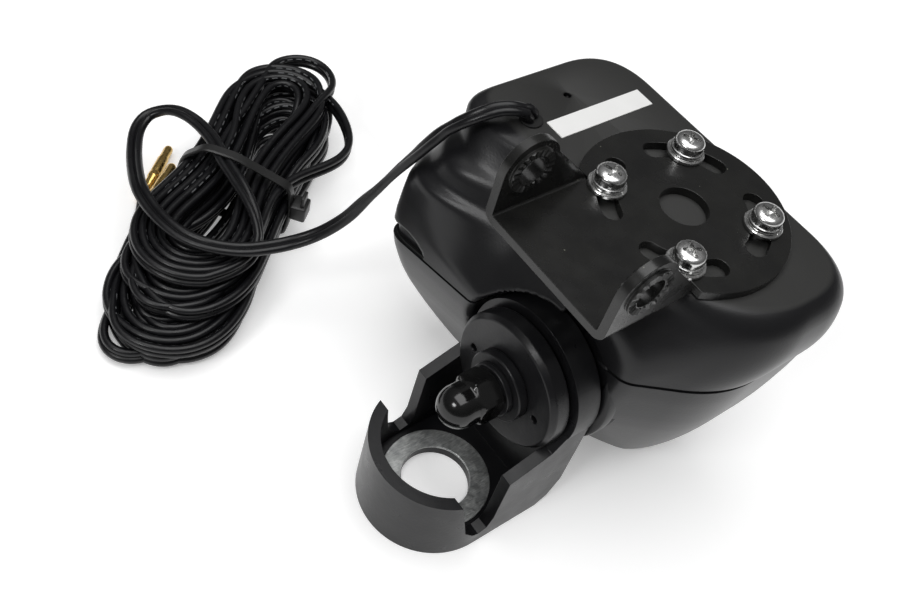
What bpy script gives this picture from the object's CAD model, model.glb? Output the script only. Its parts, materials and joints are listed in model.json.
# %% [markdown]
# # A motorized antenna mount
# A small black housing carries a slotted swivel bracket on top, and a shaft on its near side tilts
# a cast holder for an antenna. Its twin cord lies beside it, wound up in a hank.
# The CAD model is loaded first as a fixed frame. Every later piece is placed in that same frame,
# in metres, so nothing has to be fitted by eye.

# %% The frame
import json
import math
import bmesh
import bpy
import numpy as np
from mathutils import Matrix, Vector

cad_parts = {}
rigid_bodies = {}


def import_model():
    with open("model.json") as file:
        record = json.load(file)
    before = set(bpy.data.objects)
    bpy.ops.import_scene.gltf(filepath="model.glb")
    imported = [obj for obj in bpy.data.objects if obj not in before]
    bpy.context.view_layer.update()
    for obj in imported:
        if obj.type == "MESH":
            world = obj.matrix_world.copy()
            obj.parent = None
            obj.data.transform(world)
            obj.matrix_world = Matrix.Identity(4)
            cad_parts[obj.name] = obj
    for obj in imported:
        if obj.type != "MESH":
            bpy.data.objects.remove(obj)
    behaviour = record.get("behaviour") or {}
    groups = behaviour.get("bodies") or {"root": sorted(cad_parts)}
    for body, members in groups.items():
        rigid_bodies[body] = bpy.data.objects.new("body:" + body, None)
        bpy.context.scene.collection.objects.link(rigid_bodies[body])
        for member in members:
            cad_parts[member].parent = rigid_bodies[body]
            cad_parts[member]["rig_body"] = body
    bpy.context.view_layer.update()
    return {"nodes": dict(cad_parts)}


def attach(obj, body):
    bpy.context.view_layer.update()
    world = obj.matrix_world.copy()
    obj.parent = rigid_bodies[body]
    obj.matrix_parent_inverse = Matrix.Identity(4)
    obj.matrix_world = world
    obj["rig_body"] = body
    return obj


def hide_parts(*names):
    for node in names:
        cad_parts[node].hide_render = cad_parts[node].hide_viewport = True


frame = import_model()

MM = 0.001
SHAFT_X = 8.5
PLATE_Y = 19.4
SHAFT_Z = 33.0
nodes = frame["nodes"]

# %% [markdown]
# ## Camera
# The photo was taken from above, in front and to the right, and the camera was held at a slight roll.
# A camera could be aimed with a Track To constraint, but that always keeps it level. Here its three
# axes are written straight into its matrix, so that the roll is kept.

# %% Camera


def link_object(name, data):
    """A new object in the scene, at the origin."""
    made = bpy.data.objects.new(name, data)
    bpy.context.scene.collection.objects.link(made)
    return made


CAMERA_AT = Vector((83.65, -131.36, 208.89)) * MM
CAMERA_RIGHT = Vector((0.58246, 0.78774, 0.20053)).normalized()
CAMERA_AHEAD = Vector((-0.41905, 0.50239, -0.75631)).normalized()
camera_data = bpy.data.cameras.new("camera")
camera_data.lens = 42.35
camera_data.sensor_width = 36.0
camera_data.clip_start = 0.01
camera = link_object("camera", camera_data)
camera_up = CAMERA_RIGHT.cross(CAMERA_AHEAD)
camera.matrix_world = Matrix.Translation(CAMERA_AT) @ Matrix(
    (CAMERA_RIGHT, camera_up, -CAMERA_AHEAD)).transposed().to_4x4()
bpy.context.scene.camera = camera
print("camera at", [round(c, 3) for c in CAMERA_AT])

# %% [markdown]
# ## Light and floor
# The mount is black, so what shows its shape is what it mirrors: a white table below and a dim room
# above. A wide soft lamp hangs over it and a smaller one stands in front. The camera sees no flat
# face mirror them, only rounded edges do, so the faces stay dark and the edges are drawn in light.
# The floor is plain white, and glows a little for the camera and in mirror images, so that it reads as
# a white sheet while the soft shadows stay on it.

# %% Light and floor
bpy.context.scene.view_settings.view_transform = "Standard"


def add_lamp(name, at, size, power):
    data = bpy.data.lights.new(name, "AREA")
    data.shape = "RECTANGLE"
    data.size, data.size_y = size
    data.energy = power
    lamp = link_object(name, data)
    lamp.location = at
    lamp.rotation_euler = (-Vector(at)).to_track_quat("-Z", "Y").to_euler()


add_lamp("ceiling", (0.0, 0.0, 1.1), (1.1, 0.9), 9.0)
add_lamp("window", (0.05, -0.80, 0.80), (0.30, 0.22), 3.0)
world = bpy.data.worlds.new("room")
bpy.context.scene.world = world
world.use_nodes = True
room = world.node_tree
room_direction = room.nodes.new("ShaderNodeTexCoord")
room_height = room.nodes.new("ShaderNodeSeparateXYZ")
room_tone = room.nodes.new("ShaderNodeValToRGB")
room.links.new(room_direction.outputs["Generated"], room_height.inputs[0])
room.links.new(room_height.outputs["Z"], room_tone.inputs["Fac"])
room.links.new(room_tone.outputs["Color"], room.nodes["Background"].inputs["Color"])
room_tone.color_ramp.elements[0].color = (0.25, 0.25, 0.25, 1)
room_tone.color_ramp.elements[1].color = (0.30, 0.30, 0.30, 1)
for height, tone in ((0.10, 0.12), (0.25, 0.08), (0.60, 0.16)):
    room_tone.color_ramp.elements.new(height).color = (tone, tone, tone, 1)

floor_mesh = bpy.data.meshes.new("floor")
FLOOR, FLOOR_GLOW = 3.0, 0.30
floor_mesh.from_pydata([(-FLOOR, -FLOOR, 0), (FLOOR, -FLOOR, 0), (FLOOR, FLOOR, 0), (-FLOOR, FLOOR, 0)],
                       [], [(0, 1, 2, 3)])
floor = link_object("floor", floor_mesh)
paper = bpy.data.materials.new("white_sheet")
paper.use_nodes = True
paper_shader = paper.node_tree.nodes["Principled BSDF"]
paper_shader.inputs["Base Color"].default_value = (0.9, 0.9, 0.9, 1)
paper_shader.inputs["Roughness"].default_value = 0.9
paper_shader.inputs["Specular IOR Level"].default_value = 0.1
paper_shader.inputs["Emission Color"].default_value = (1, 1, 1, 1)
paper_path = paper.node_tree.nodes.new("ShaderNodeLightPath")
paper_glow = paper.node_tree.nodes.new("ShaderNodeMath")
paper_glow.operation = "MULTIPLY"
paper_glow.inputs[1].default_value = FLOOR_GLOW
paper_rays = paper.node_tree.nodes.new("ShaderNodeMath")
paper_rays.operation = "MAXIMUM"
paper_link = paper.node_tree.links.new
paper_link(paper_path.outputs["Is Camera Ray"], paper_rays.inputs[0])
paper_link(paper_path.outputs["Is Glossy Ray"], paper_rays.inputs[1])
paper_link(paper_rays.outputs[0], paper_glow.inputs[0])
paper_link(paper_glow.outputs[0], paper_shader.inputs["Emission Strength"])
floor_mesh.materials.append(paper)
print("two lamps, a room and a white floor")

# %% [markdown]
# ## Finishes
# Black plastic, black paint and black casting differ only in their gloss and in how fine their grain
# is. Each finish is therefore a Principled shader whose colour, roughness and bump come from noise at
# the grain's real size. A small class keeps the node wiring short. The housing is the exception: its
# rear face is etched, so it is paler and duller than the smooth sides, and its tone goes by height.

# %% Finishes: the node helper


class Finish:
    """A procedural material on Object coordinates, in millimetres."""

    def __init__(self, name, metallic=0.0, specular=0.5):
        self.material = bpy.data.materials.new(name)
        self.material.use_nodes = True
        self.tree = self.material.node_tree
        self.shader = self.tree.nodes["Principled BSDF"]
        self.shader.inputs["Metallic"].default_value = metallic
        self.shader.inputs["Specular IOR Level"].default_value = specular
        coords = self.add("ShaderNodeTexCoord")
        self.place = coords.outputs["Object"]
        self.uv = coords.outputs["UV"]
        self.height = None

    def add(self, kind, **settings):
        made = self.tree.nodes.new(kind)
        for key, value in settings.items():
            setattr(made, key, value)
        return made

    def link(self, start, end):
        self.tree.links.new(start, end)

    def noise(self, size, detail=2.0, stretch=None):
        made = self.add("ShaderNodeTexNoise")
        made.inputs["Scale"].default_value = 1 / (size * MM)
        made.inputs["Detail"].default_value = detail
        place = self.place
        if stretch:
            mapping = self.add("ShaderNodeMapping")
            mapping.inputs["Scale"].default_value = stretch
            self.link(place, mapping.inputs["Vector"])
            place = mapping.outputs["Vector"]
        self.link(place, made.inputs["Vector"])
        return made.outputs["Fac"]

    def spread(self, source, low, high, start=0.3, end=0.7):
        made = self.add("ShaderNodeMapRange")
        made.inputs["From Min"].default_value = start
        made.inputs["From Max"].default_value = end
        made.inputs["To Min"].default_value = low
        made.inputs["To Max"].default_value = high
        self.link(source, made.inputs["Value"])
        return made.outputs["Result"]

    def sum(self, a, b, kind="ADD"):
        made = self.add("ShaderNodeMath", operation=kind)
        for socket, value in zip(made.inputs, (a, b)):
            if isinstance(value, (int, float)):
                socket.default_value = value
            else:
                self.link(value, socket)
        return made.outputs[0]

    def tint(self, share, dark, light):
        made = self.add("ShaderNodeMix", data_type="RGBA", clamp_factor=False)
        colours = [s for s in made.inputs if s.type == "RGBA"]
        colours[0].default_value = (*dark, 1)
        colours[1].default_value = (*light, 1)
        self.link(share, made.inputs["Factor"])
        return [s for s in made.outputs if s.type == "RGBA"][0]

    def colour(self, source):
        self.link(source, self.shader.inputs["Base Color"])

    def rough(self, source):
        self.link(source, self.shader.inputs["Roughness"])

    def bump(self, source, depth):
        made = self.add("ShaderNodeBump")
        made.inputs["Distance"].default_value = depth * MM
        self.link(source, made.inputs["Height"])
        if self.height is not None:
            self.link(self.height, made.inputs["Normal"])
        self.height = made.outputs["Normal"]
        self.link(self.height, self.shader.inputs["Normal"])


DUST_APART, DUST_EDGE = 4, (0.03, 0.05)


def grained(name, dark, light, rough, grain, depth, specular=0.5, patch=9.0, metallic=0.0, dust=0.0):
    """A finish whose tone and gloss wander over patches, with a fine grain and a few specks of dust."""
    made = Finish(name, metallic, specular)
    share = made.spread(made.noise(patch, 3), 0, 1)
    if dust:
        cells = made.add("ShaderNodeTexVoronoi")
        cells.inputs["Scale"].default_value = 1 / (DUST_APART * MM)
        made.link(made.place, cells.inputs["Vector"])
        share = made.sum(share, made.spread(cells.outputs["Distance"], dust, 0, *DUST_EDGE))
    made.colour(made.tint(share, dark, light))
    made.rough(made.spread(made.noise(patch * 0.6, 4), rough[0], rough[1]))
    made.bump(made.noise(grain, 2), depth)
    return made


FACE_FROM, FACE_TO = 68.1 * MM, 68.45 * MM
moulded = Finish("moulded_plastic", specular=0.34)
moulded.bump(moulded.noise(0.45, 2), 0.02)
face_height = moulded.add("ShaderNodeSeparateXYZ")
moulded.link(moulded.place, face_height.inputs[0])
on_face = moulded.spread(face_height.outputs["Z"], 0, 1, FACE_FROM, FACE_TO)
moulded.colour(moulded.tint(on_face, (0.009, 0.009, 0.010), (0.026, 0.026, 0.025)))
moulded.rough(moulded.spread(on_face, 0.32, 0.56, 0, 1))
painted = grained("bracket_paint", (0.007, 0.007, 0.007), (0.012, 0.012, 0.011), (0.22, 0.32), 1.4, 0.012,
                  0.45, dust=25)
cast = grained("cast_paint", (0.006, 0.006, 0.007), (0.011, 0.011, 0.012), (0.26, 0.36), 0.8, 0.02, 0.28)
glossy = grained("nut_gloss", (0.004, 0.004, 0.004), (0.007, 0.007, 0.007), (0.10, 0.18), 2.5, 0.01, 0.5)
dark_plastic = grained("tie_plastic", (0.008, 0.008, 0.008), (0.014, 0.014, 0.014), (0.32, 0.45), 0.9, 0.02)
rubber = grained("rubber", (0.006, 0.006, 0.006), (0.011, 0.011, 0.011), (0.6, 0.75), 0.5, 0.02, 0.3)
bronze = grained("bronze", (0.45, 0.29, 0.12), (0.55, 0.37, 0.17), (0.28, 0.4), 0.6, 0.006, metallic=1.0)
gear_plastic = grained("gear_plastic", (0.62, 0.58, 0.47), (0.72, 0.68, 0.56), (0.4, 0.5), 0.5, 0.008)
board_coat = grained("board_coat", (0.012, 0.10, 0.04), (0.02, 0.15, 0.06), (0.25, 0.35), 1.2, 0.01)
print(len(bpy.data.materials), "materials so far")

# %% Finishes: bare metals and paper
zinc = Finish("plated_steel", 1.0)
zinc.colour(zinc.tint(zinc.spread(zinc.noise(1.6, 4), 0, 1), (0.60, 0.60, 0.60), (0.80, 0.80, 0.79)))
zinc.rough(zinc.spread(zinc.noise(0.9, 3), 0.16, 0.30))
zinc.bump(zinc.noise(0.5, 2), 0.006)

scuffed = Finish("scuffed_zinc", 0.85)
scuff = scuffed.sum(scuffed.noise(0.8, 6, (3, 0.6, 1)), scuffed.noise(2.8, 4), "MULTIPLY")
scuff_share = scuffed.spread(scuff, 0, 1, 0.12, 0.42)
scuffed.colour(scuffed.tint(scuff_share, (0.26, 0.27, 0.27), (0.62, 0.63, 0.62)))
scuffed.rough(scuffed.spread(scuffed.noise(1.1, 4), 0.34, 0.55))
scuffed.bump(scuff, 0.10)

brass = Finish("gold_brass", 1.0)
brass.colour(brass.tint(brass.spread(brass.noise(1.5, 3), 0, 1), (0.66, 0.43, 0.13), (0.76, 0.53, 0.20)))
brass.rough(brass.spread(brass.noise(0.8, 3), 0.18, 0.32))
brass.bump(brass.noise(1.6, 2), 0.006)

label_paper = grained("label_paper", (0.80, 0.80, 0.79), (0.86, 0.86, 0.85), (0.5, 0.6), 0.3, 0.006, 0.3)
print("metals and paper made")

# %% [markdown]
# ## Twin cord: its route
# The cord is one flat twin lead. It leaves the hole in the rear face, drops past the housing, makes one
# free loop on top of the hank, crosses it under the tie and is then wound up in layers of long loops.
# The CAD solid lies in even layers. A real hank is looser: its lower loops reach further out at the
# near end, and a few loops stand out. So here each loop gets its own ends and its own shift to the
# side, and then the loops push each other apart a few dozen times, as a small simulation.
# All lengths are in millimetres until the mesh is made.

# %% Twin cord: its route
CORD_W, CORD_T = 4.0, 2.0
HANK_AT = np.array((-82.0, -26.5))
HANK_TURN = math.radians(-50)
HANK_RUN = 72.0
LAYERS, LAYER_LOOPS = 4, 5
LOOPS = LAYERS * LAYER_LOOPS
LOOP_STEP, LAYER_STEP = CORD_T + 0.75, CORD_W + 0.6
HANK_LOW, LOOP_IN, RUN_SHARE = 1.45, 4.5, 1 / 6
LOOP_OUT = LOOP_IN + (LAYER_LOOPS - RUN_SHARE) * LOOP_STEP
LOW_Z = HANK_LOW + CORD_W / 2
TOP_Z = LOW_Z + (LAYERS - 1) * LAYER_STEP
START, END_ALONG = RUN_SHARE, 34.0
END = LOOPS - 1 + 0.5 + (0.5 - END_ALONG / HANK_RUN) * RUN_SHARE
TURN_POINTS = 72
TAIL_X, TAIL_Y = 16.5, -(LOOP_OUT + 3.2)
WAIST_IN, WAIST_SHARE, WAIST_HALF = 1.2, 0.75, 6
# Half the width of a loop's near and far end: a share of the loop's radius, and what is added to it.
NEAR_WIDE, FAR_WIDE = (0.55, 7.4), (0.6, 5.0)
# How much further the ends of a loop reach for each millimetre of radius past the middle one.
MIDDLE_R, NEAR_GROWS, FAR_GROWS = 11, 0.55, (0.5, 0.045)
LEFT_SPREAD = (0.5, 2.5, 4.5, 6.0)
# Each loop gets its own ends and shifts. Three loops stand out, as they do on the real hank.
draw = np.random.default_rng(7)
near_end = np.repeat((35.5, 43.5, 50.5, 55.5), LAYER_LOOPS) + draw.normal(0, 1.6, LOOPS)
far_end = np.repeat((47.5, 45.0, 43.0, 41.0), LAYER_LOOPS) + draw.normal(0, 2.0, LOOPS)
near_side = draw.normal(-3.2, 1.1, LOOPS)
far_side = draw.normal(0, 1.8, LOOPS)
waist_side = np.repeat((-1.8, 2.0, -2.2, 1.6), LAYER_LOOPS) + draw.normal(0, 0.3, LOOPS)
TALL_LOOP, WIDE_LOOP, LOW_LOOP = 2, 1, 16
far_end[TALL_LOOP], far_side[TALL_LOOP] = 56.0, 1.5
near_end[LOW_LOOP], near_side[LOW_LOOP] = 57.5, -7.0
WIDE_AT, WIDE_LONG, WIDE_OUT = -19.0, 10.0, 15.0


def soft_step(t):
    t = min(max(t, 0.0), 1.0)
    return t * t * (3 - 2 * t)


def loop_point(turn):
    """A point of the hank after a number of turns: right run, near end, left run, far end."""
    count = int(turn)
    layer = min(count // LAYER_LOOPS, LAYERS - 1)
    within = turn - layer * LAYER_LOOPS
    grown = max(within - RUN_SHARE, 0) * LOOP_STEP
    r = LOOP_OUT - grown if layer % 2 == 0 else LOOP_IN + grown
    z = TOP_Z - LAYER_STEP * (0 if layer == 0 else layer - 1 + min(within / RUN_SHARE, 1))
    u, arc = turn - count, 0.5 - RUN_SHARE
    far_turn = count if u >= 0.5 else max(count - 1, 0)
    wide_near, wide_far = NEAR_WIDE[0] * r + NEAR_WIDE[1], FAR_WIDE[0] * r + FAR_WIDE[1]
    reach_near = near_end[count] + NEAR_GROWS * (r - MIDDLE_R) - wide_near
    reach_far = far_end[far_turn] + (FAR_GROWS[0] + FAR_GROWS[1] * turn) * (r - MIDDLE_R) - wide_far
    waist = WAIST_IN + WAIST_SHARE * (r - LOOP_IN)
    if u < RUN_SHARE or 0.5 <= u < 0.5 + RUN_SHARE:
        hand = 1 if u < RUN_SHARE else -1
        share = (u if hand > 0 else u - 0.5) / RUN_SHARE
        share = share if hand > 0 else 1 - share
        along = -reach_far + (reach_near + reach_far) * share
        end_reach, end_wide = (reach_near, wide_near) if along > 0 else (reach_far, wide_far)
        middle = soft_step((abs(along) - WAIST_HALF) / (end_reach - WAIST_HALF))
        if hand < 0:
            spread = np.interp(turn / LAYER_LOOPS - 0.5, range(LAYERS), LEFT_SPREAD)
            waist += spread * (r - LOOP_IN) / (LOOP_OUT - LOOP_IN)
        across = hand * (waist + (end_wide - waist) * middle)
        if count == WIDE_LOOP and hand > 0:
            across += WIDE_OUT * math.exp(-((along - WIDE_AT) / WIDE_LONG) ** 2)
    elif u < 0.5:
        a = math.radians(90 - 180 * (u - RUN_SHARE) / arc)
        along, across, middle = reach_near + wide_near * math.cos(a), wide_near * math.sin(a), 1.0
    else:
        a = math.radians(-90 - 180 * (u - 0.5 - RUN_SHARE) / arc)
        along, across, middle = -reach_far + wide_far * math.cos(a), wide_far * math.sin(a), 1.0
    end_side = near_side[count] if along > 0 else far_side[far_turn]
    return along, across + waist_side[count] * (1 - middle) + end_side * middle, z


def on_hank(p):
    c, s = math.cos(HANK_TURN), math.sin(HANK_TURN)
    return (HANK_AT[0] + p[0] * c - p[1] * s, HANK_AT[1] + p[0] * s + p[1] * c, p[2])


LEAD = [(SHAFT_X - 35.1, PLATE_Y - 11.6, 69.0),
        (-26.65, 7.5, 70), (-27.1, 5.9, 71.3), (-28.3, 3.1, 72), (-29.7, 0.6, 71.6),
        (-30.7, -1.6, 70.7), (-32.1, -4.1, 68.9), (-33.8, -6.2, 66.4), (-35.4, -7.8, 63.5),
        (-36.7, -9.8, 60), (-38.2, -11.7, 55.7), (-40.5, -13.5, 50), (-43.2, -15, 43),
        (-45.4, -16.7, 37.3), (-47.2, -19.5, 31.5), (-49.2, -22.7, 27), (-51.2, -26.2, 23.8),
        (-53.1, -30.3, 21.8), (-54.6, -34.8, 21.1), (-56.4, -39.9, 20.9), (-59, -44.3, 20.9),
        (-62.4, -48, 20.9), (-66.7, -50.8, 20.8), (-71.9, -52.5, 20.8), (-78.1, -53.2, 20.7),
        (-84.6, -52.8, 20.6), (-92.9, -50, 18.6), (-101.2, -46.2, 16.8), (-107.5, -42.3, 16.4),
        (-110.3, -38.3, 17.2), (-109.2, -34.7, 18.8), (-106.4, -32.4, 20.3), (-102.8, -30.7, 20.9),
        (-98.5, -29.5, 20.9), (-93.1, -29.2, 21), (-88.3, -29.7, 21)]
LEAD_OVER_HANK = 17


def spline(points, steps):
    """A smooth curve through the points, with so many steps between each two."""
    p = np.array(points, float)
    p = np.vstack([2 * p[0] - p[1], p, 2 * p[-1] - p[-2]])
    made = []
    for i in range(1, len(p) - 2):
        for t in np.arange(steps) / steps:
            a, b, c, d = p[i - 1:i + 3]
            made.append(0.5 * (2 * b + (c - a) * t + (2 * a - 5 * b + 4 * c - d) * t ** 2
                               + (3 * b - a - 3 * c + d) * t ** 3))
    return np.array(made + [p[-2]])


hank_turns = np.arange(math.ceil(START * TURN_POINTS), math.floor(END * TURN_POINTS) + 1) / TURN_POINTS
tail = [(35, TAIL_Y + 1.2), (29, TAIL_Y + 0.7), (23.5, TAIL_Y + 0.3), (19.5, TAIL_Y + 0.1), (TAIL_X, TAIL_Y)]
hank_start = [loop_point(START)] + [loop_point(t) for t in hank_turns]
hank_raw = np.array([on_hank(p) for p in hank_start + [(x, y, LOW_Z) for x, y in tail]])


def travelled(points):
    """How far along a line each of its points lies."""
    return np.concatenate([[0], np.cumsum(np.linalg.norm(np.diff(points, axis=0), axis=1))])


def evenly(points, step):
    """The same line with points at even steps."""
    travel = travelled(points)
    even = np.linspace(0, travel[-1], round(travel[-1] / step) + 1)
    return np.stack([np.interp(even, travel, points[:, i]) for i in range(3)], 1)


HANK_STEP = 2.4
hank_raw = evenly(hank_raw, HANK_STEP)
print("hank:", len(hank_raw), "points before it settles")

# %% Twin cord: the hank settles
FLAT = np.array((1.0, 1.0, 0.5))
APART = 2.25
NEIGHBOURS = 6
ROUNDS = 60
HELD = 8
# In each round a point sinks, is pushed off other loops and the lead, evened out and pulled back to length.
SINK, LOOP_PUSH, LEAD_PUSH, EVEN_OUT, PULL_BACK = 0.03, 0.2, 0.3, 0.35, 0.25
UNDER, OVER = 0.3, 0.25


def smoothed(line, first, last, rounds, share=0.5):
    """Draws each point of a stretch towards the middle of its two neighbours, for some rounds."""
    for _ in range(rounds):
        middle = 0.5 * (line[first - 1:last - 1] + line[first + 1:last + 1])
        line[first:last] = (1 - share) * line[first:last] + share * middle


def settle(points, obstacle):
    """Loops push each other apart, keep their length and sink onto what lies below them."""
    p = points.copy()
    rest = np.linalg.norm(np.diff(p, axis=0), axis=1)
    index = np.arange(len(p))
    close = np.abs(index[:, None] - index[None]) <= NEIGHBOURS
    for _ in range(ROUNDS):
        p[1:-HELD, 2] -= SINK
        q = p * FLAT
        apart = q[:, None] - q[None]
        far = np.sqrt((apart ** 2).sum(2)) + 1e-6
        push = np.where(close | (far > APART), 0, (APART - far) / far * LOOP_PUSH)
        p[1:-HELD] += (apart * push[:, :, None]).sum(1)[1:-HELD]
        over = q[:, None] - (obstacle * FLAT)[None]
        far = np.sqrt((over ** 2).sum(2)) + 1e-6
        push = np.where(far > APART, 0, (APART - far) / far * LEAD_PUSH)
        p[4:-HELD] += (over * push[:, :, None]).sum(1)[4:-HELD]
        smoothed(p, 1, len(p) - HELD, 1, EVEN_OUT)
        for _ in range(2):
            step = np.diff(p, axis=0)
            length = np.linalg.norm(step, axis=1)
            fix = PULL_BACK * step * ((length - rest) / np.maximum(length, 1e-6))[:, None]
            fix[0] = 0
            fix[-HELD:] = 0
            p[:-1] += fix
            p[1:] -= fix
        p[:, 2] = np.clip(p[:, 2], LOW_Z - UNDER, TOP_Z + OVER)
    return p


LEAD_STEPS, LEAD_FREE = 4, 10
HANK_SMOOTH, END_SMOOTH = 5, 40
TAIL_FROM, TAIL_TO = 36, 3
JOIN_BEFORE, JOIN_AFTER = 16, 14
lead_end = [on_hank(p) for p in ((2.0, -3.6, 21.0), (6.2, 1.0, 21.0), (11.0, 6.2, 20.8), (16.6, 11.6, 19.4))]
lead_line = spline(LEAD + lead_end + [on_hank(loop_point(START))], LEAD_STEPS)
hank_line = settle(hank_raw, lead_line[LEAD_OVER_HANK * LEAD_STEPS:-LEAD_FREE])
smoothed(hank_line, 1, len(hank_line) - HELD, HANK_SMOOTH)
smoothed(hank_line, len(hank_line) - TAIL_FROM, len(hank_line) - TAIL_TO, END_SMOOTH)
cord_line = np.vstack([lead_line[:-1], spline(hank_line, 2)])
smoothed(cord_line, len(lead_line) - JOIN_BEFORE, len(lead_line) + JOIN_AFTER, END_SMOOTH)
cord_length = np.linalg.norm(np.diff(cord_line, axis=0), axis=1).sum()
print("cord:", round(cord_length), "mm on", len(cord_line), "points")

# %% [markdown]
# ## Twin cord: its body
# Two round conductors side by side, joined by a thin web, make the section. It is swept along the
# route with its wide side level on the lead and on edge in the hank. The sweep also writes a UV map:
# U counts millimetres along the cord, so a printed dash can repeat along one conductor only.

# %% Twin cord: its body


def unit(v):
    return v / np.maximum(np.linalg.norm(v, axis=-1, keepdims=True), 1e-9)


def smooth_faces(mesh, sharp):
    """Smooth shading, but for edges sharper than an angle in degrees."""
    mesh.polygons.foreach_set("use_smooth", [True] * len(mesh.polygons))
    mesh.set_sharp_from_angle(angle=math.radians(sharp))


def tube_faces(rings, count, closed=False):
    """Faces between rings of equal count, and back to the first ring where the tube is closed."""
    return [(i * count + j, i * count + (j + 1) % count,
             (i + 1) % rings * count + (j + 1) % count, (i + 1) % rings * count + j)
            for i in range(rings if closed else rings - 1) for j in range(count)]


def end_caps(rings, count):
    """The two faces that close a tube's first and last ring."""
    last = (rings - 1) * count
    return [tuple(range(count - 1, -1, -1)), tuple(range(last, last + count))]


def add_object(name, verts, faces, finish=None, sharp=40.0):
    """A mesh in millimetres becomes an object at the origin, smooth but for its sharp edges."""
    mesh = bpy.data.meshes.new(name)
    mesh.from_pydata([tuple(c * MM for c in v) for v in verts], [], faces)
    mesh.update()
    smooth_faces(mesh, sharp)
    made = link_object(name, mesh)
    if finish:
        mesh.materials.append(finish.material)
    return made


def sweep(name, line, wide, section, finish):
    """Sweeps a closed section, given along its wide and thin sides, with caps and a UV map."""
    ahead = unit(np.gradient(line, axis=0))
    wide = unit(wide - ahead * (wide * ahead).sum(1, keepdims=True))
    thin = np.cross(ahead, wide)
    n, k = len(line), len(section)
    rings = line[:, None] + wide[:, None] * section[None, :, :1] + thin[:, None] * section[None, :, 1:]
    made = add_object(name, rings.reshape(-1, 3), tube_faces(n, k) + end_caps(n, k), finish)
    travel = travelled(line)
    uv = made.data.uv_layers.new(name="UVMap")
    flat = []
    for i in range(n - 1):
        for j in range(k):
            flat += [travel[i], j / k, travel[i], (j + 1) / k]
            flat += [travel[i + 1], (j + 1) / k, travel[i + 1], j / k]
    flat += [0.0, 0.0] * (2 * k)
    uv.data.foreach_set("uv", flat)
    return made


def twin_section(points=11):
    """Two round conductors with a web between them, as (wide, thin) pairs."""
    r, web = CORD_T / 2, 0.32
    start = math.asin(web / r)
    right = [(CORD_W / 2 - r + r * math.cos(a), r * math.sin(a))
             for a in np.linspace(-math.pi + start, math.pi - start, points)]
    return np.array(right + [(-x, -y) for x, y in right])


EXIT_POINTS, EXIT_TURN = 8, math.radians(20)
EDGE_POINTS = 12
LEAN_POINTS, LEAN_SPREAD, LEAD_LEAN = 40, 14, 0.4
ahead = unit(np.gradient(cord_line, axis=0))
level = unit(np.cross(ahead, (0, 0, 1)))
level[:EXIT_POINTS] = unit(np.array((-math.sin(EXIT_TURN), math.cos(EXIT_TURN), 0)))
above = np.cross(level, ahead)
turn = np.full(len(cord_line), 90.0)
lead_count = len(lead_line) - 1
turn[:lead_count] = 90 * np.clip((np.arange(lead_count) - (lead_count - EDGE_POINTS)) / EDGE_POINTS, 0, 1)
lean_at = np.arange(0, len(cord_line), LEAN_POINTS)
lean = np.interp(np.arange(len(cord_line)), lean_at, draw.normal(0, LEAN_SPREAD, len(lean_at)))
lean[:lead_count] *= LEAD_LEAN
turn = np.radians(turn + lean)[:, None]
cord_wide = level * np.cos(turn) + above * np.sin(turn)

sheath = Finish("cord_sheath", specular=0.36)
sheath_split = sheath.add("ShaderNodeSeparateXYZ")
sheath.link(sheath.uv, sheath_split.inputs[0])
DASH_PERIOD, DASH_SHARE, DASH_AT, DASH_HALF = 2.9, 0.60, 0.32, 0.014
dash_count = sheath.sum(sheath_split.outputs["X"], 1 / DASH_PERIOD, "MULTIPLY")
dash_step = sheath.sum(dash_count, 1.0, "MODULO")
dash_on = sheath.sum(dash_step, DASH_SHARE, "LESS_THAN")
dash_band = sheath.sum(sheath.sum(sheath.sum(sheath_split.outputs["Y"], -DASH_AT), 2.0, "POWER"),
                       DASH_HALF ** 2, "LESS_THAN")
dash_worn = sheath.sum(sheath.noise(14.0, 2), 0.50, "GREATER_THAN")
dash = sheath.sum(sheath.sum(dash_on, dash_band, "MULTIPLY"), dash_worn, "MULTIPLY")
sheath.colour(sheath.tint(dash, (0.005, 0.005, 0.006), (0.17, 0.175, 0.18)))
sheath.rough(sheath.spread(sheath.noise(2.2, 3), 0.26, 0.38))
sheath.bump(sheath.noise(1.1, 2), 0.015)

cord = sweep("twin_cord", cord_line, cord_wide, twin_section(), sheath)
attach(cord, "housing")
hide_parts("cord_lead", "cord_hank")
print("cord mesh:", len(cord.data.polygons), "faces")

# %% [markdown]
# ## Cable tie
# The tie is pulled tight, so its strap follows the outline of the cords at the hank's waist. Those
# cords are cut at the waist, the hull of the cut is found, and a flat strap with rounded edges is
# swept round it. The head sits low on the right side, with the strap's cut end standing out of it.

# %% Cable tie


def hull(points):
    """The convex outline of flat points, anticlockwise."""
    points = sorted(map(tuple, points))
    halves = []
    for ordered in (points, points[::-1]):
        half = []
        for p in ordered:
            while len(half) > 1 and ((half[-1][0] - half[-2][0]) * (p[1] - half[-2][1])
                                     - (half[-1][1] - half[-2][1]) * (p[0] - half[-2][0])) <= 0:
                half.pop()
            half.append(p)
        halves += half[:-1]
    return np.array(halves)


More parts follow.
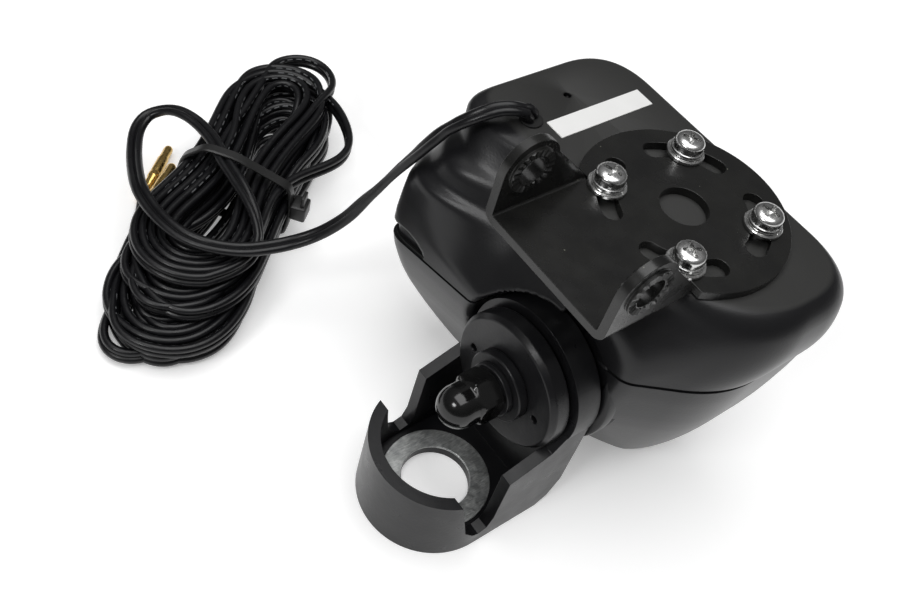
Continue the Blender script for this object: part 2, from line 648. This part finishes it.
TIE_CUT, TIE_LEAD, TIE_OFF, TIE_POINTS, TIE_LOW = 4.0, 40, 1.35, 96, 0.7
axis = np.array((math.cos(HANK_TURN), math.sin(HANK_TURN)))
side = np.array((-axis[1], axis[0]))
flat_cord = cord_line[:, :2] - HANK_AT
in_hand = (np.arange(len(cord_line)) > lead_count - TIE_LEAD) & (np.abs(flat_cord @ side) < LOOP_OUT)
waist = (np.abs(flat_cord @ axis) < TIE_CUT) & in_hand
corners = []
for p, w in zip(cord_line[waist], cord_wide[waist]):
    for s in (-1, 1):
        tip = p + s * w * (CORD_W / 2 - CORD_T / 2)
        across = (tip[:2] - HANK_AT) @ side
        corners += [(across + TIE_OFF * math.cos(a), max(tip[2] + TIE_OFF * math.sin(a), TIE_LOW + 0.05))
                    for a in np.arange(0, 2 * math.pi, 0.4)]
ring = hull(corners)
ring = np.vstack([ring, ring[:1]])
travel = travelled(ring)
even = np.linspace(0, travel[-1], TIE_POINTS + 1)[:-1]
ring = np.stack([np.interp(even, travel, ring[:, i]) for i in (0, 1)], 1)
for _ in range(3):
    ring = 0.5 * ring + 0.25 * (np.roll(ring, 1, 0) + np.roll(ring, -1, 0))
ring[:, 1] = np.maximum(ring[:, 1], TIE_LOW)
TIE_W, TIE_T, TIE_BEVEL = 2.7, 1.0, 0.3


def at_waist(across, up, along=0.0):
    flat = HANK_AT + axis * along + side * across
    return (flat[0], flat[1], up)


ring_slope = np.gradient(np.r_[ring[-1:], ring, ring[:1]], axis=0)[1:-1]
out = unit(np.stack([ring_slope[:, 1], -ring_slope[:, 0]], 1))
strap_section = [(-TIE_W / 2, -TIE_T / 2 + TIE_BEVEL), (-TIE_W / 2 + TIE_BEVEL, -TIE_T / 2),
                 (TIE_W / 2 - TIE_BEVEL, -TIE_T / 2), (TIE_W / 2, -TIE_T / 2 + TIE_BEVEL),
                 (TIE_W / 2, TIE_T / 2 - TIE_BEVEL), (TIE_W / 2 - TIE_BEVEL, TIE_T / 2),
                 (-TIE_W / 2 + TIE_BEVEL, TIE_T / 2), (-TIE_W / 2, TIE_T / 2 - TIE_BEVEL)]
strap_points = []
for p, o in zip(ring, out):
    strap_points += [at_waist(*(p + o * (deep - 0.05)), along) for along, deep in strap_section]
strap_faces = tube_faces(len(ring), len(strap_section), closed=True)
strap = add_object("cable_tie_strap", strap_points, strap_faces, dark_plastic)


def rounded_box(name, low, high, bevel, finish, taper=1.0):
    """A box with rounded edges, given by its corners in millimetres."""
    bm = bmesh.new()
    bmesh.ops.create_cube(bm, size=1.0)
    for v in bm.verts:
        share = taper if v.co.z > 0 else 1.0
        v.co = Vector([MM * ((a + b) / 2 + (b - a) * c * (share if i < 2 else 1))
                       for i, (a, b, c) in enumerate(zip(low, high, v.co))])
    bmesh.ops.bevel(bm, geom=bm.edges[:], offset=bevel * MM, segments=3, profile=0.5, affect="EDGES")
    mesh = bpy.data.meshes.new(name)
    bm.to_mesh(mesh)
    bm.free()
    smooth_faces(mesh, 50)
    mesh.materials.append(finish.material)
    return link_object(name, mesh)


right_side = ring[:, 0].max()
head = rounded_box("cable_tie_head", (-2.6, right_side + 0.2, 9.0), (2.6, right_side + 4.4, 13.6),
                   0.6, dark_plastic)
stub = rounded_box("cable_tie_stub", (-1.7, right_side + 2.6, 12.6), (1.7, right_side + 3.6, 16.6),
                   0.3, dark_plastic)
to_hank = Matrix.Translation((HANK_AT[0] * MM, HANK_AT[1] * MM, 0)) @ Matrix.Rotation(HANK_TURN, 4, "Z")
for piece in (head, stub):
    piece.data.transform(to_hank)
for piece in (strap, head, stub):
    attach(piece, "housing")
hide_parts("cable_tie")
print("tie strap round", round(travel[-1]), "mm")

# %% [markdown]
# ## Bullet terminals
# The two conductors part at the end of the cord, and each is crimped into a gold bullet. A bullet is
# turned, so a profile is spun round its axis, and the crimp is a flattened stretch of it.

# %% Bullet terminals


def spin(profile, segments=40):
    """Vertices and faces of a profile of (radius, height) pairs turned round Z, closed at its ends."""
    verts = [(r * math.cos(2 * math.pi * j / segments), r * math.sin(2 * math.pi * j / segments), h)
             for r, h in profile for j in range(segments)]
    return verts, tube_faces(len(profile), segments) + end_caps(len(profile), segments)


def turned(name, profile, matrix, finish, segments=40, sharp=35.0):
    """A turned piece, moved into place by a matrix that is written in millimetres."""
    verts, faces = spin(profile, segments)
    verts = [matrix @ Vector(v) for v in verts]
    return add_object(name, verts, faces, finish, sharp)


bullet_profile = [(0.6, 0), (1.35, 0.05), (1.4, 0.3), (1.4, 2.6), (1.15, 3.2), (1.15, 5.6), (1.4, 6.2),
                  (1.4, 8.4), (1.6, 8.7), (1.6, 10.2), (1.42, 10.5), (1.5, 11.0), (1.5, 16.2), (1.28, 16.8),
                  (1.28, 20.2), (1.1, 20.9), (0.7, 21.4), (0.2, 21.5)]
hank_matrix = Matrix.Translation((HANK_AT[0], HANK_AT[1], 0)) @ Matrix.Rotation(HANK_TURN, 4, "Z")
terminals = []
conductor_ends = [((TAIL_X + 0.4, TAIL_Y, HANK_LOW + CORD_W / 4), (5.5, TAIL_Y - 3.8, 1.9), 3.0),
                  ((TAIL_X + 0.4, TAIL_Y, HANK_LOW + 3 * CORD_W / 4), (14.2, TAIL_Y - 0.3, 4.8), 0.0)]
for number, (bared, crimp, swing) in enumerate(conductor_ends):
    ahead_wire = Vector(crimp) - Vector(bared)
    wire_turn = ahead_wire.to_track_quat("Z", "Y").to_matrix().to_4x4()
    wire_matrix = hank_matrix @ Matrix.Translation(bared) @ wire_turn
    wire_profile = [(0.2, 0), (0.95, 0.1), (0.95, ahead_wire.length + 0.6), (0.2, ahead_wire.length + 0.7)]
    core = turned(f"terminal_wire_{number + 1}", wire_profile, wire_matrix, sheath, 20)
    bullet_matrix = hank_matrix @ Matrix.Translation(crimp) @ Matrix.Rotation(math.radians(swing), 4, "Z") \
        @ Matrix.Rotation(math.radians(-90), 4, "Y")
    bullet = turned(f"bullet_terminal_{number + 1}", bullet_profile, bullet_matrix, brass)
    terminals += [core, bullet]
for piece in terminals:
    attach(piece, "housing")
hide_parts("bullet_terminals")
print(len(terminals), "pieces at the cord's end")

# %% [markdown]
# ## Housing: one rule for both shells
# The shells are moulded, so their surface is one smooth rule: for any point it says how deep that
# point lies inside the housing. Five straight sides are blended with rounded corners, one of them a
# slant at the near right. A shoulder with two soft ridges swells out at the near left, and the space
# where the holder swings is taken away. Rays from a middle axis meet that surface at every height,
# and the rings so found are skinned. The gasket between the shells is a band from the same rule.

# %% Housing: one rule for both shells
REAR_Z, PART_Z, LEAN = 68.5, 43.0, math.tan(math.radians(12))
LEFT, RIGHT, FAR, NEAR = 49.0, 32.0, 26.0, 33.5
GASKET, WALL = 0.4, 2.4
CENTRE = (-25.0, -5.0)
RAYS = 300
BOSS_REACH, STEP_R = 23.0, 17.9
SLANT_X, SLANT_Y, SLANT = RIGHT - 15.1, -BOSS_REACH - 1.4, math.radians(46.4)
FOOT_LEFT, FOOT_RIGHT, FOOT_FAR, FOOT_NEAR = 30.0, 18.5, 14.0, 18.0
FOOT_SLANT, FOOT_NARROWING = 17.0, 0.78
# Height and width of each side's rounded edge under the rear face, then the rounds between the sides.
LEFT_EDGE, RIGHT_EDGE, FAR_EDGE, NEAR_EDGE, SLANT_EDGE = (4.6, 2.4), (5, 3), (4.6, 2.6), (1.4, 1.2), (18, 7.5)
LEFT_FAR_R, RIGHT_FAR_R, NEAR_SLANT_R, SLANT_RIGHT_R, FOOT_NEAR_R, BOSS_R = 14, 13, 8, 6, 7, 1.6
NEAR_R = ([40, 50, 57, 62, 66, REAR_Z], [6, 8, 14, 16, 8, 6])
SHOULDER_FROM, SHOULDER_OVER = -16, 24
DRAFT, FAR_DRAFT, SWELL, SWELL_HALF = 0.025, 2.3, 2.2, 9.5
left_drop = ((0, 1.1, 2.5, 3.9, 7.3, 8.7, 9.9, 13.5, 14.7, 16.1, 22.5),
             (17.5, 13.5, 12.3, 11.1, 7.9, 5.4, 4.5, 3.1, 0.9, 0.4, 0))
middle_drop = ((0, 2, 4.5, 8.5, 13.5, 18.5, 22.5, 26), (17.5, 17.1, 16.7, 14.2, 10.2, 5.7, 2.7, 0))
hull_shape = (np.linspace(0, 1, 11), (0, 0.03, 0.08, 0.14, 0.22, 0.32, 0.43, 0.55, 0.68, 0.82, 1.02))


def soft_min(a, b, k):
    return np.minimum(a, b) - np.maximum(k - np.abs(a - b), 0) ** 2 / (4 * k)


def joint_height(x):
    return PART_Z + x * LEAN


def softened(table, step, blur):
    """A table of corners as an even, smooth curve."""
    even = np.arange(table[0][0], table[0][-1] + 10 * blur, step)
    count = int(3 * blur / step)
    window = np.exp(-(np.arange(-count, count + 1) * step / blur) ** 2 / 2)
    values = np.pad(np.interp(even, *table), count, mode="edge")
    return even, np.convolve(values, window / window.sum(), "valid")


left_drop, middle_drop = softened(left_drop, 0.05, 0.4), softened(middle_drop, 0.05, 0.9)
hull_shape = softened(hull_shape, 0.002, 0.02)


def fillet(z, high, wide):
    """How far a rounded edge under the rear face draws a side in."""
    share = np.clip(1 - (REAR_Z - z) / high, 0, 1)
    return wide * (1 - np.sqrt(np.maximum(1 - share ** 2, 0)))


def near_reach(x, z):
    """How far the near side reaches in front of the bracket's centre, at a place and height."""
    drop = REAR_Z - z
    left, rest = NEAR - np.interp(drop, *left_drop), NEAR - np.interp(drop, *middle_drop)
    share = np.clip((x - SHOULDER_FROM) / -SHOULDER_OVER, 0, 1)
    return rest + (left - rest) * share * share * (3 - 2 * share) - fillet(z, *NEAR_EDGE)


def slant(x, y):
    return (y - SLANT_Y) * math.cos(SLANT) - (x - SLANT_X) * math.sin(SLANT)


def five_sides(left, right, far, near, slanted, near_round):
    """Depth inside five sides with rounded corners between them."""
    inside = np.minimum(soft_min(left, far, LEFT_FAR_R), soft_min(right, far, RIGHT_FAR_R))
    inside = np.minimum(inside, soft_min(left, near, near_round))
    inside = np.minimum(inside, soft_min(near, slanted, NEAR_SLANT_R))
    return np.minimum(inside, soft_min(slanted, right, SLANT_RIGHT_R))


def rear_depth(x, y, z):
    """Depth of a point inside the rear shell, from the shaft and the bracket's centre."""
    draft = DRAFT * np.clip(z - PART_Z, 0, 30)
    swell = SWELL * np.clip(1 - ((REAR_Z - z - SWELL_HALF) / SWELL_HALF) ** 2, 0, 1)
    return five_sides(x + LEFT - fillet(z, *LEFT_EDGE), RIGHT - x - fillet(z, *RIGHT_EDGE) - draft + swell,
                      FAR - y - fillet(z, *FAR_EDGE) - FAR_DRAFT * draft, y + near_reach(x, z),
                      slant(x, y) - fillet(z, *SLANT_EDGE) - draft, np.interp(z, *NEAR_R))


def front_depth(x, y, z):
    """Depth of a point inside the front shell, which narrows like a hull to its foot."""
    share = np.interp(np.clip((joint_height(x) - z) / joint_height(x), 0, 1), *hull_shape)
    left = x + LEFT + (FOOT_LEFT - LEFT) * share
    right = RIGHT + (FOOT_RIGHT - RIGHT) * share - x
    along = np.clip(left / (left + right), 0, 1)
    near = y + (NEAR + (FOOT_NEAR - NEAR) * share) * (1 - FOOT_NARROWING * share * along)
    far = FAR + (FOOT_FAR - FAR) * share - y
    return five_sides(left, right, far, near, slant(x, y) - FOOT_SLANT * share, FOOT_NEAR_R)


def cleared(x, y, z):
    """Depth of a point behind the space where the holder swings."""
    from_shaft = np.where(x < 0, np.hypot(x, np.maximum(z - SHAFT_Z, 0)), 0)
    return np.maximum(from_shaft - STEP_R, y + BOSS_REACH)


angles = np.linspace(0, 2 * math.pi, 1441)[:-1]
REACH_STEP = 0.1
reach = np.arange(0, 80, REACH_STEP)


def ring_at(depth, height, wall, fine):
    """One ring of a shell: where rays from the middle axis leave the rule's surface."""
    x = CENTRE[0] + reach[None] * np.cos(fine)[:, None]
    y = CENTRE[1] + reach[None] * np.sin(fine)[:, None]
    z = height(x)
    inside = soft_min(depth(x, y, z), cleared(x, y, z), BOSS_R) - wall
    last = np.argmax(inside < 0, axis=1)
    rows = np.arange(len(fine))
    a, b = inside[rows, last - 1], inside[rows, last]
    t = reach[last - 1] + REACH_STEP * a / (a - b)
    px, py = CENTRE[0] + t * np.cos(fine), CENTRE[1] + t * np.sin(fine)
    return np.stack([px, py, height(px)], 1)


def rear_joint(x):
    return joint_height(x) + GASKET


def front_joint(x):
    return joint_height(x) - GASKET


joint_ring = ring_at(front_depth, front_joint, 0, angles)
travel = travelled(np.vstack([joint_ring, joint_ring[:1]])[:, :2])
even = np.linspace(0, travel[-1], RAYS + 1)[:-1]
ray_angles = np.interp(even, travel, np.append(angles, 2 * math.pi))
print("joint line:", round(travel[-1]), "mm long")

# %% Housing: the two skins
PRY_X, PRY_HALF, PRY_HIGH, PRY_DEEP, PRY_EDGE = -42.5, 8.5, 4.4, 1.5, 0.9
PRY_Y, PRY_FADE = -24, 2.5


def to_frame(ring):
    return ring + np.array((SHAFT_X, PLATE_Y, 0.0))


def skin(name, rings, finish):
    """A closed skin over rings of equal count, capped at both ends."""
    n = len(rings[0])
    faces = tube_faces(len(rings), n) + end_caps(len(rings), n)
    made = add_object(name, np.vstack([to_frame(r) for r in rings]), faces, finish, 42)
    bm = bmesh.new()
    bm.from_mesh(made.data)
    bmesh.ops.recalc_face_normals(bm, faces=bm.faces)
    bm.to_mesh(made.data)
    bm.free()
    return made


def pry_dip(ring):
    """Presses the pocket for prising the shells apart into the near left corner, above the joint."""
    off_middle = (ring[:, 0] - PRY_X) / PRY_HALF
    top = PRY_HIGH * np.sqrt(np.clip(1 - off_middle ** 2, 0, 1))
    up = ring[:, 2] - joint_height(ring[:, 0])
    dip = np.clip((top - up) / PRY_EDGE, 0, 1) * np.clip((PRY_Y - ring[:, 1]) / PRY_FADE, 0, 1)
    ring[:, :2] += unit(np.array(CENTRE) - ring[:, :2]) * (PRY_DEEP * dip * dip * (3 - 2 * dip))[:, None]
    return ring


def cut_by(target, cutter):
    """Takes one closed object out of another and leaves the plain mesh."""
    modifier = target.modifiers.new("cut", "BOOLEAN")
    modifier.object = cutter
    modifier.operation = "DIFFERENCE"
    modifier.solver = "EXACT"
    graph = bpy.context.evaluated_depsgraph_get()
    result = bpy.data.meshes.new_from_object(target.evaluated_get(graph))
    target.modifiers.clear()
    target.data = result
    bpy.data.objects.remove(cutter)
    return target


def between(high, low, share):
    """A height rule that lies between a level and another rule."""
    return lambda x: high + (low(x) - high) * share


rear_shares = np.concatenate([[0, 0.003, 0.008, 0.015, 0.025, 0.04, 0.055, 0.075, 0.1, 0.125, 0.15],
                              np.linspace(0.18, 0.8, 34), np.linspace(0.815, 0.985, 14), [0.994, 1.0]])
rear_rings = [pry_dip(ring_at(rear_depth, between(REAR_Z, rear_joint, s), 0, ray_angles))
              for s in rear_shares]
rear_rings += [ring_at(rear_depth, between(REAR_Z - WALL, rear_joint, s), WALL, ray_angles)
               for s in (1.0, 0.6, 0.25, 0.0)]
rear_skin = skin("rear_shell_skin", rear_rings, moulded)
VENT_AT, VENT_R = (SHAFT_X - 38.4, PLATE_Y + 1.8, REAR_Z), 0.9
vent = turned("vent", [(VENT_R, -5), (VENT_R, -0.25), (VENT_R + 0.3, 0.05), (VENT_R + 0.3, 1)],
              Matrix.Translation(VENT_AT), moulded, 28)
cut_by(rear_skin, vent)

front_shares = np.concatenate([[0, 0.007, 0.02], np.linspace(0.05, 0.95, 34), [0.975, 0.992, 1.0]])
front_rings = [ring_at(front_depth, between(WALL, front_joint, s), WALL, ray_angles)
               for s in (0.0, 0.4, 0.7, 1.0)]
front_rings += [ring_at(front_depth, lambda x: front_joint(x) * (1 - s), 0, ray_angles)
                for s in front_shares]
front_skin = skin("front_shell_skin", front_rings, moulded)
GASKET_IN, GASKET_WIDE = 0.5, 1.5
gasket_rings = [ring_at(front_depth, height, wall, ray_angles) for height, wall in
                ((front_joint, GASKET_IN), (rear_joint, GASKET_IN),
                 (rear_joint, GASKET_IN + GASKET_WIDE), (front_joint, GASKET_IN + GASKET_WIDE))]
gasket_faces = tube_faces(len(gasket_rings), RAYS, closed=True)
gasket = add_object("gasket_band", np.vstack([to_frame(r) for r in gasket_rings]), gasket_faces, rubber)
for piece, node, slot in ((rear_skin, "rear_shell", "shell_plastic"),
                          (front_skin, "front_shell", "shell_plastic"),
                          (gasket, "shell_gasket", "seal_rubber")):
    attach(piece, "housing")
    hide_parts(node)
print("shell faces:", len(rear_skin.data.polygons), len(front_skin.data.polygons))

# %% [markdown]
# ## Boss
# The shaft comes out of a round boss, half in each shell. It is turned on a lathe in spirit: a stepped
# profile spun about the shaft, with small rounds on its edges.

# %% Boss
to_shaft = Matrix.Translation((SHAFT_X, PLATE_Y, SHAFT_Z)) @ Matrix.Rotation(math.radians(90), 4, "X")
boss_profile = [(5.3, 6.0), (18.5, 6.0), (18.5, 18.6), (18.2, 18.9), (17.6, 19.0), (17.6, 20.0), (18.2, 20.1),
                (18.5, 20.4), (18.5, 22.4), (18.3, 22.8), (17.9, 23.0), (8.2, 23.0), (7.9, 22.7), (7.9, 22.0),
                (5.3, 22.0)]
boss = turned("boss_collar", boss_profile, to_shaft, moulded, 96)
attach(boss, "housing")
print("boss reaches", BOSS_REACH, "mm in front of the bracket's centre")

# %% [markdown]
# ## Pieces that keep their CAD shape
# Stamped, cast and turned pieces are already right in the CAD model, but their edges are knife sharp.
# A copy of the mesh is merged, its flat faces are joined, and a Bevel modifier rounds the edges, so
# that they catch the light as painted edges do.

# %% Pieces that keep their CAD shape


def eased(node, name, finish, width, angle=32.0, segments=2):
    """A copy of a CAD node with rounded edges, riding where the node rides."""
    mesh = nodes[node].data.copy()
    mesh.name = name
    if "custom_normal" in mesh.attributes:
        mesh.attributes.remove(mesh.attributes["custom_normal"])
    bm = bmesh.new()
    bm.from_mesh(mesh)
    bmesh.ops.remove_doubles(bm, verts=bm.verts, dist=2e-6)
    bmesh.ops.dissolve_limit(bm, angle_limit=math.radians(0.6), verts=bm.verts, edges=bm.edges)
    bm.to_mesh(mesh)
    bm.free()
    mesh.materials.clear()
    mesh.materials.append(finish.material)
    smooth_faces(mesh, angle)
    made = link_object(name, mesh)
    bevel = made.modifiers.new("edges", "BEVEL")
    bevel.width = width * MM
    bevel.segments = segments
    bevel.limit_method = "ANGLE"
    bevel.angle_limit = math.radians(angle)
    bevel.use_clamp_overlap = True
    normals = made.modifiers.new("normals", "WEIGHTED_NORMAL")
    normals.keep_sharp = True
    return made


eased_pieces = [("bracket_plate", "swivel_bracket", painted, 0.35),
                ("antenna_holder", "cast_holder", cast, 0.4),
                ("contact_ring", "bare_contact_ring", scuffed, 0.12),
                ("clamp_disc", "clamp_disc_eased", cast, 0.25),
                ("hub_washer", "hub_washer_eased", cast, 0.3),
                ("hub_spring_washer", "hub_spring_eased", cast, 0.2),
                ("label_plate", "blank_label", label_paper, 0.08),
                ("cord_grommet", "cord_grommet_eased", rubber, 0.3)]
for node, name, finish, width in eased_pieces:
    piece = eased(node, name, finish, width)
    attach(piece, nodes[node]["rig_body"])
    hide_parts(node)
print(len(eased_pieces), "CAD shapes with rounded edges")

# %% [markdown]
# ## Cap nut
# A cap nut is a hexagon with a dome. The hexagon's corners are turned off to a cone at both ends, so
# it is made as a spun cone cut by six flats: each ring of the spin is simply held inside the hexagon.

# %% Cap nut
NUT_BACK, NUT_AF = 39.82, 10.0
DOME_R, DOME_AT = 4.8, 47.9


def nut_radius(angle, limit):
    """Radius of a hexagon's outline at an angle, held inside a round limit."""
    turn_in = (angle + math.pi / 6) % (math.pi / 3) - math.pi / 6
    return min(limit, NUT_AF / 2 / math.cos(turn_in))


nut_levels = [(r, NUT_BACK + h) for r, h in
              ((3.0, 0), (5.1, 0), (5.5, 0.35), (5.9, 0.8), (5.9, 4.7), (5.5, 5.3), (5.0, 5.8), (4.85, 6.0))]
nut_levels += [(DOME_R, NUT_BACK + 6.3), (DOME_R, DOME_AT - 0.6)]
nut_levels += [(DOME_R * math.cos(a), DOME_AT + DOME_R * math.sin(a)) for a in np.linspace(0, 1.52, 12)]
NUT_SEGMENTS = 72
nut_points = []
for limit, height in nut_levels:
    for j in range(NUT_SEGMENTS):
        a = 2 * math.pi * j / NUT_SEGMENTS
        r = nut_radius(a, limit)
        nut_points.append(to_shaft @ Vector((r * math.cos(a), r * math.sin(a), height)))
nut_faces = spin([(1, 0)] * len(nut_levels), NUT_SEGMENTS)[1]
nut = add_object("dome_nut", nut_points, nut_faces, glossy, 32)
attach(nut, "output")
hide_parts("cap_nut")
print("cap nut with", len(nut_faces), "faces")

# %% [markdown]
# ## Screws and washers
# Four sets of screw, spring washer and plain washer hold the bracket. One of each is modelled at the
# origin, and a Geometry Nodes tree puts it on four points, so the four stay alike and one change
# reaches all. The result is made a plain mesh, because the export keeps no instances.

# %% Screws and washers


def repeat_tree(name, finish):
    """A tree that puts one object on every point of a mesh, turned by the point's own angle."""
    tree = bpy.data.node_groups.new(name, "GeometryNodeTree")
    tree.interface.new_socket("Geometry", in_out="INPUT", socket_type="NodeSocketGeometry")
    source = tree.interface.new_socket("Source", in_out="INPUT", socket_type="NodeSocketObject")
    size = tree.interface.new_socket("Size", in_out="INPUT", socket_type="NodeSocketFloat")
    size.default_value = 1.0
    tree.interface.new_socket("Geometry", in_out="OUTPUT", socket_type="NodeSocketGeometry")
    made = {kind: tree.nodes.new(kind) for kind in
            ("NodeGroupInput", "GeometryNodeObjectInfo", "GeometryNodeInputNamedAttribute",
             "GeometryNodeInstanceOnPoints", "GeometryNodeRealizeInstances", "GeometryNodeSetMaterial",
             "NodeGroupOutput")}
    made["GeometryNodeInputNamedAttribute"].data_type = "FLOAT_VECTOR"
    made["GeometryNodeInputNamedAttribute"].inputs["Name"].default_value = "turn"
    made["GeometryNodeSetMaterial"].inputs["Material"].default_value = finish.material
    link = tree.links.new
    start, put = made["NodeGroupInput"], made["GeometryNodeInstanceOnPoints"]
    link(start.outputs["Source"], made["GeometryNodeObjectInfo"].inputs["Object"])
    link(start.outputs["Geometry"], put.inputs["Points"])
    link(made["GeometryNodeObjectInfo"].outputs["Geometry"], put.inputs["Instance"])
    link(made["GeometryNodeInputNamedAttribute"].outputs["Attribute"], put.inputs["Rotation"])
    link(start.outputs["Size"], put.inputs["Scale"])
    link(put.outputs["Instances"], made["GeometryNodeRealizeInstances"].inputs["Geometry"])
    real, paint = made["GeometryNodeRealizeInstances"], made["GeometryNodeSetMaterial"]
    link(real.outputs["Geometry"], paint.inputs["Geometry"])
    link(paint.outputs["Geometry"], made["NodeGroupOutput"].inputs["Geometry"])
    return tree, source.identifier, size.identifier


def repeated(name, source, places, turns, finish, sharp=35.0):
    """One object repeated on places in millimetres, as a plain mesh at the origin."""
    mesh = bpy.data.meshes.new(name + "_points")
    mesh.from_pydata([tuple(c * MM for c in p) for p in places], [], [])
    angle = mesh.attributes.new("turn", "FLOAT_VECTOR", "POINT")
    angle.data.foreach_set("vector", [c for t in turns for c in t])
    carrier = link_object(name + "_carrier", mesh)
    tree, source_socket, size_socket = repeat_tree(name + "_tree", finish)
    modifier = carrier.modifiers.new("repeat", "NODES")
    modifier.node_group = tree
    modifier[source_socket] = source
    modifier[size_socket] = 1.0
    graph = bpy.context.evaluated_depsgraph_get()
    result = bpy.data.meshes.new_from_object(carrier.evaluated_get(graph))
    carrier.modifiers.clear()
    bpy.data.objects.remove(carrier)
    bpy.data.objects.remove(source)
    result.name = name
    smooth_faces(result, sharp)
    return link_object(name, result)


PLATE_TOP = 70.55
WASHER_LOW = PLATE_TOP + 0.05
SCREW_RISE = 2.0
flat_place = Matrix.Identity(4)
screw_profile = [(1.95, -12.0), (2.0, -11.7), (2.0, 0.0), (3.15, 0.0), (3.25, 0.12), (3.25, 1.2),
                 (3.16, 1.55), (2.88, 1.95), (2.35, 2.22), (1.55, 2.36), (0.6, 2.42), (0.1, 2.43)]
screw_head = turned("screw_source", screw_profile, flat_place, zinc, 48)
for quarter in (0, 90):
    slot = rounded_box("recess", (-1.75, -0.36, 0.9), (1.75, 0.36, 3.2), 0.05, zinc, 1.25)
    slot.data.transform(Matrix.Rotation(math.radians(quarter), 4, "Z"))
    cut_by(screw_head, slot)
washer_profile = [(2.05, 0.02), (3.98, 0.02), (4.12, 0.14), (4.12, 0.72), (3.98, 0.86), (2.2, 0.88),
                  (2.05, 0.75)]
plain = turned("washer_source", washer_profile, flat_place, zinc, 56)
split_points, split_faces = [], []
SPLIT_STEPS, SPLIT_FROM, SPLIT_TURN, SPLIT_RISE = 52, 6, 348, 0.10
SPLIT_LOW = 0.9
for i in range(SPLIT_STEPS + 1):
    a = math.radians(SPLIT_FROM + SPLIT_TURN * i / SPLIT_STEPS)
    rise = SPLIT_LOW + SPLIT_RISE * i / SPLIT_STEPS
    for r, h in ((2.1, 0.03), (3.4, 0.0), (3.55, 0.12), (3.55, 0.86), (3.4, 0.98), (2.1, 0.95)):
        split_points.append((r * math.cos(a), r * math.sin(a), rise + h))
for i in range(SPLIT_STEPS):
    split_faces += [(i * 6 + j, (i + 1) * 6 + j, (i + 1) * 6 + (j + 1) % 6, i * 6 + (j + 1) % 6)
                    for j in range(6)]
split_faces += [(0, 1, 2, 3, 4, 5), tuple(SPLIT_STEPS * 6 + j for j in (5, 4, 3, 2, 1, 0))]
split = add_object("split_source", split_points, split_faces, zinc)

SCREW_CIRCLE = 16.3
screw_places = [(SHAFT_X + SCREW_CIRCLE * math.cos(a), PLATE_Y + SCREW_CIRCLE * math.sin(a))
                for a in map(math.radians, (45, 135, 225, 315))]
screw_turns = [(0, 0, math.radians(t)) for t in (12, 38, 20, 63)]
screw_sets = ((screw_head, "bracket_screw_set", "bracket_screws", WASHER_LOW + SCREW_RISE),
              (split, "split_washer_set", "spring_washers", WASHER_LOW),
              (plain, "plain_washer_set", "plain_washers", WASHER_LOW))
for source, name, node, height in screw_sets:
    piece = repeated(name, source, [(x, y, height) for x, y in screw_places], screw_turns, zinc)
    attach(piece, "housing")
    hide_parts(node)
print("four sets of screw and washers")

# %% [markdown]
# ## Teeth on the ears
# The raised ring round each ear's hole is serrated, so that the bolted joint can't slip. One small
# wedge is repeated round each ring with the same tree as the screws.

# %% Teeth on the ears
EAR_AT = (PLATE_Y - 38.4 + 6.8, PLATE_TOP + 9.4)
EAR_FACES = ((-18.0, -1), (-14.8, 1), (14.8, -1), (18.0, 1))
TEETH = 20
tooth_points = [(-0.36, 3.5, 0), (0.36, 3.5, 0), (0.56, 5.05, 0), (-0.56, 5.05, 0),
                (0, 3.6, 0.28), (0, 4.95, 0.34)]
tooth_faces = [(0, 3, 2, 1), (0, 1, 4), (2, 3, 5), (1, 2, 5, 4), (3, 0, 4, 5)]
wedge = add_object("tooth_source", tooth_points, tooth_faces, painted, 20)
tooth_places, tooth_turns = [], []
for face, outward in EAR_FACES:
    for i in range(TEETH):
        tooth_places.append((SHAFT_X + face, EAR_AT[0], EAR_AT[1]))
        round_hole = Matrix.Rotation(2 * math.pi * i / TEETH, 3, "X")
        tooth_turns.append(tuple((round_hole @ Matrix.Rotation(outward * math.pi / 2, 3, "Y")).to_euler()))
teeth = repeated("ear_teeth", wedge, tooth_places, tooth_turns, painted, 20)
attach(teeth, "bracket")
print(len(tooth_places), "teeth on", len(EAR_FACES), "rings")

# %% [markdown]
# ## Pieces inside
# The drive is hidden, and it keeps its CAD meshes. Each piece still gets the finish of its own metal
# or plastic, because the shells may be taken off in another scene.

# %% Pieces inside
inside_finish = {"shell_screws": zinc, "gear_frame": zinc, "frame_screws": zinc, "motor_can": zinc,
                 "motor_end_cap": dark_plastic, "worm_shaft": zinc, "worm": bronze, "worm_bush": bronze,
                 "output_shaft": zinc, "worm_wheel": gear_plastic, "limit_cam": gear_plastic,
                 "front_bush": bronze, "inner_bush": bronze, "shaft_seal": rubber,
                 "control_board": board_coat, "limit_switches": dark_plastic}
for node, finish in inside_finish.items():
    nodes[node].data.materials.clear()
    nodes[node].data.materials.append(finish.material)
print(len(inside_finish), "inner pieces finished")
